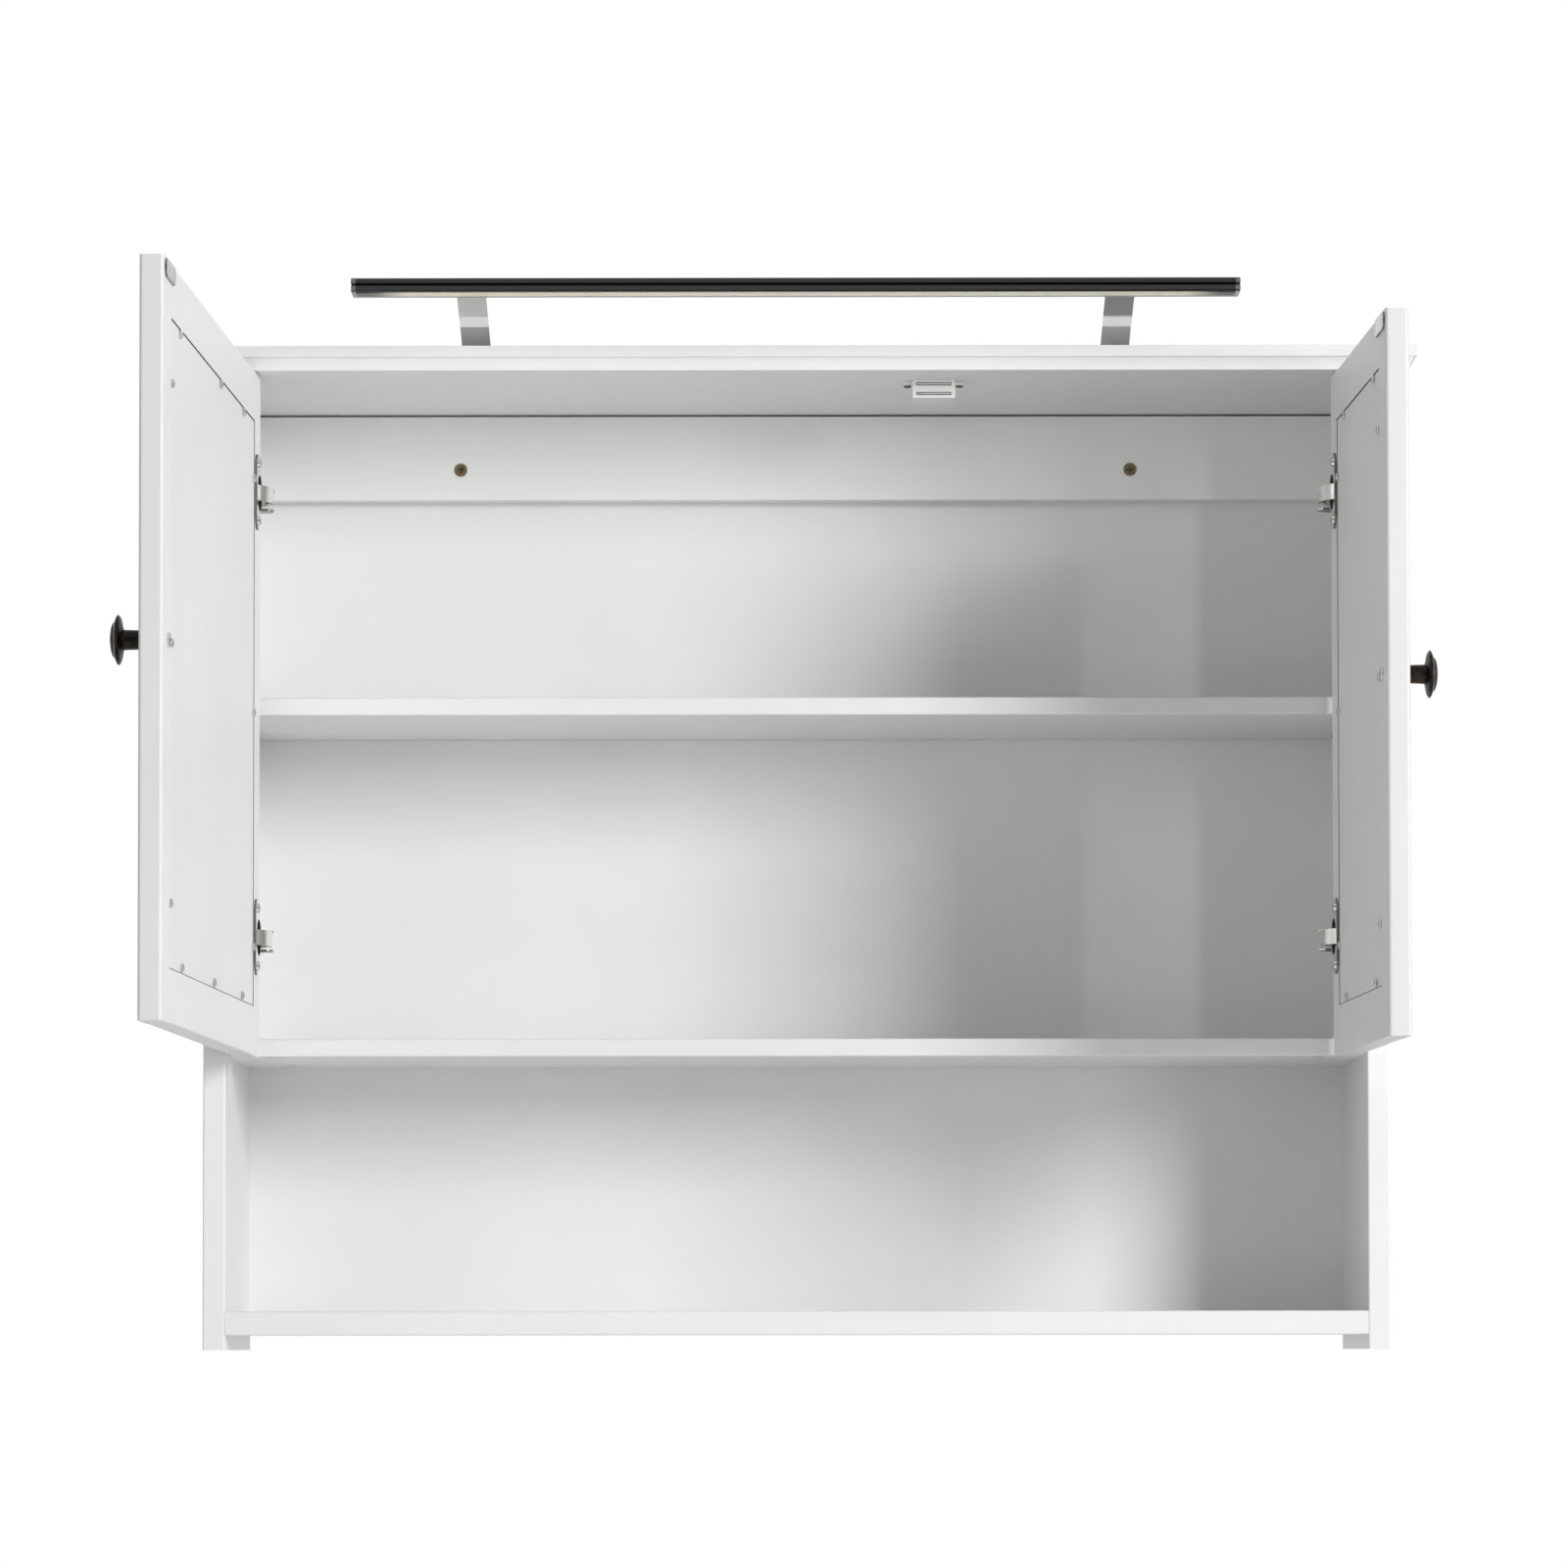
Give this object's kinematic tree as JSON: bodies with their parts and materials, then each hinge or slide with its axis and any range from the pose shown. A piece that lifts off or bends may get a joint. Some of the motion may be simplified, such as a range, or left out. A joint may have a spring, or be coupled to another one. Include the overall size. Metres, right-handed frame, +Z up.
{
  "type": "bathroom mirror cabinet",
  "caption": "White wall cabinet for a bathroom with framed mirror doors on concealed hinges, shelves behind them, an open bay below and a slim lamp over the crown board.",
  "frame": {"origin": "midway between the two wall screws, on the plane of the wall behind the cabinet", "axes": "+X to the right of a person facing the cabinet, +Y into the wall, +Z up"},
  "size_m": [0.836, 0.7156, 0.7087],
  "materials": {
    "carcass_white": "white satin lacquer",
    "door_white": "white satin lacquer",
    "back_white": "white lacquered hardboard",
    "dowel_wood": "plain beech",
    "mirror_glass": "silvered",
    "nickel_steel": "nickel plated",
    "zinc_screws": "zinc plated",
    "dark_steel": "dark plated",
    "yellow_zinc": "yellow zinc plated",
    "cast_zinc": "die cast",
    "knob_bronze": "dark bronze, satin",
    "catch_plastic": "moulded",
    "magnet_ferrite": "plain",
    "lamp_chrome": "polished",
    "lamp_dark_chrome": "polished, dark",
    "lamp_caps": "metallised",
    "lamp_light": "opal",
    "led_strip": "plain",
    "bush_rubber": "plain"
  },
  "bodies": {
    "carcass": {"side_panel_left": "carcass_white", "side_panel_right": "carcass_white", "crown_board": "carcass_white", "bottom_board": "carcass_white", "lower_shelf": "carcass_white", "middle_shelf": "carcass_white", "shelf_pins": "dark_steel", "back_panel": "back_white", "back_panel_screws": "zinc_screws", "back_rail": "carcass_white", "wall_screws": "yellow_zinc", "carcass_dowels": "dowel_wood", "cam_bolts": "zinc_screws", "cam_locks": "cast_zinc", "left_hinge_arms": "nickel_steel", "right_hinge_arms": "nickel_steel", "hinge_plates": "nickel_steel", "hinge_plate_screws": "zinc_screws", "catch_body": "catch_plastic", "catch_magnet": "magnet_ferrite", "catch_poles": "zinc_screws", "catch_screws": "dark_steel", "lamp_profile": "lamp_dark_chrome", "lamp_diffuser": "lamp_light", "lamp_led_strip": "led_strip", "lamp_end_caps": "lamp_caps", "lamp_arms": "lamp_chrome", "lamp_screws": "zinc_screws", "lamp_cable_bush": "bush_rubber"},
    "left_door": {"left_hinge_stile": "door_white", "left_free_stile": "door_white", "left_top_rail": "door_white", "left_bottom_rail": "door_white", "left_mirror": "mirror_glass", "left_door_back": "back_white", "left_back_screws": "zinc_screws", "left_knob": "knob_bronze", "left_knob_screw": "zinc_screws", "left_strike_plate": "nickel_steel", "left_strike_screws": "zinc_screws", "left_hinge_cups": "nickel_steel", "left_cup_screws": "zinc_screws", "left_frame_dowels": "dowel_wood"},
    "right_door": {"right_hinge_stile": "door_white", "right_free_stile": "door_white", "right_top_rail": "door_white", "right_bottom_rail": "door_white", "right_mirror": "mirror_glass", "right_door_back": "back_white", "right_back_screws": "zinc_screws", "right_knob": "knob_bronze", "right_knob_screw": "zinc_screws", "right_strike_plate": "nickel_steel", "right_strike_screws": "zinc_screws", "right_hinge_cups": "nickel_steel", "right_cup_screws": "zinc_screws", "right_frame_dowels": "dowel_wood"},
    "left_links": {"left_hinge_links": "nickel_steel"},
    "right_links": {"right_hinge_links": "nickel_steel"}
  },
  "joints": [
    {"name": "left_door_hinge", "type": "hinge", "parent": "carcass", "child": "left_door", "pos_m": [-0.3798, -0.1976, -0.193], "axis": [0, 0, 1], "range_deg": [-3, 92]},
    {"name": "right_door_hinge", "type": "hinge", "parent": "carcass", "child": "right_door", "pos_m": [0.3798, -0.1976, -0.193], "axis": [0, 0, -1], "range_deg": [-3, 92]},
    {"name": "left_link_hinge", "type": "hinge", "parent": "carcass", "child": "left_links", "pos_m": [-0.3798, -0.1976, -0.193], "axis": [0, 0, 1], "range_deg": [-2, 45]},
    {"name": "right_link_hinge", "type": "hinge", "parent": "carcass", "child": "right_links", "pos_m": [0.3798, -0.1976, -0.193], "axis": [0, 0, -1], "range_deg": [-2, 45]}
  ],
  "couplings": [
    {"joint": "left_link_hinge", "follows": "left_door_hinge", "ratio": 0.48},
    {"joint": "right_link_hinge", "follows": "right_door_hinge", "ratio": 0.48}
  ]
}
